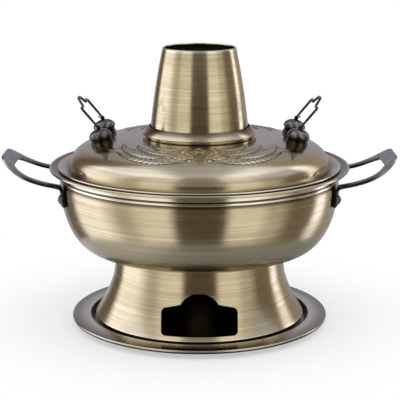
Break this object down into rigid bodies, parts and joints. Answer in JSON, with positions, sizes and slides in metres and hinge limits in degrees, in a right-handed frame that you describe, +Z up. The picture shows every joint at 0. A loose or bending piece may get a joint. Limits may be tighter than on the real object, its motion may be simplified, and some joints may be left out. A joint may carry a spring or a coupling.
{
  "type": "chimney hot pot",
  "caption": "Charcoal hot pot with a central chimney, a flared vented base on a drip tray, strap side handles and a lift-off domed lid with wire bails.",
  "frame": {"origin": "on the table, under the middle of the drip tray and on the axis of the chimney", "axes": "+Z up along the chimney, the air vent faces -Y, the two side handles and the two bails lie on the X axis"},
  "size_m": [0.4192, 0.32, 0.2979],
  "materials": {
    "antique_brass": "brushed antique brass",
    "seat_bronze": "dark polished bronze",
    "dark_nickel": "dark polished nickel",
    "wire_nickel": "dark polished wire",
    "handle_steel": "dark polished steel strap",
    "dark_steel": "dark plain steel",
    "grate_iron": "sooty cast iron"
  },
  "bodies": {
    "tray": {"drip_tray": "antique_brass"},
    "pot": {"base_skirt": "antique_brass", "bowl": "antique_brass", "fire_tube": "antique_brass", "charcoal_grate": "grate_iron", "grate_brackets": "dark_steel", "bracket_rivets": "dark_steel", "handle_left": "handle_steel", "handle_right": "handle_steel", "handle_rivets_left": "dark_nickel", "handle_rivets_right": "dark_nickel"},
    "lid": {"lid_dome": "antique_brass", "lid_collar": "antique_brass", "knob_left_front": "dark_nickel", "knob_left_back": "dark_nickel", "knob_right_front": "dark_nickel", "knob_right_back": "dark_nickel", "knob_seats": "seat_bronze", "knob_screws": "dark_steel", "screw_washers": "dark_steel"},
    "bail_left": {"bail_left": "wire_nickel"},
    "bail_right": {"bail_right": "wire_nickel"}
  },
  "joints": [
    {"name": "pot_lift", "type": "slide", "parent": "tray", "child": "pot", "axis": [0, 0, 1], "range_m": [0, 0.03]},
    {"name": "lid_lift", "type": "slide", "parent": "pot", "child": "lid", "axis": [0, 0, 1], "range_m": [0, 0.14]},
    {"name": "bail_left_swing", "type": "hinge", "parent": "lid", "child": "bail_left", "pos_m": [-0.10537, 0, 0.21745], "axis": [0, 1, 0], "range_deg": [0, 110]},
    {"name": "bail_right_swing", "type": "hinge", "parent": "lid", "child": "bail_right", "pos_m": [0.10537, 0, 0.21745], "axis": [0, -1, 0], "range_deg": [0, 110]}
  ]
}
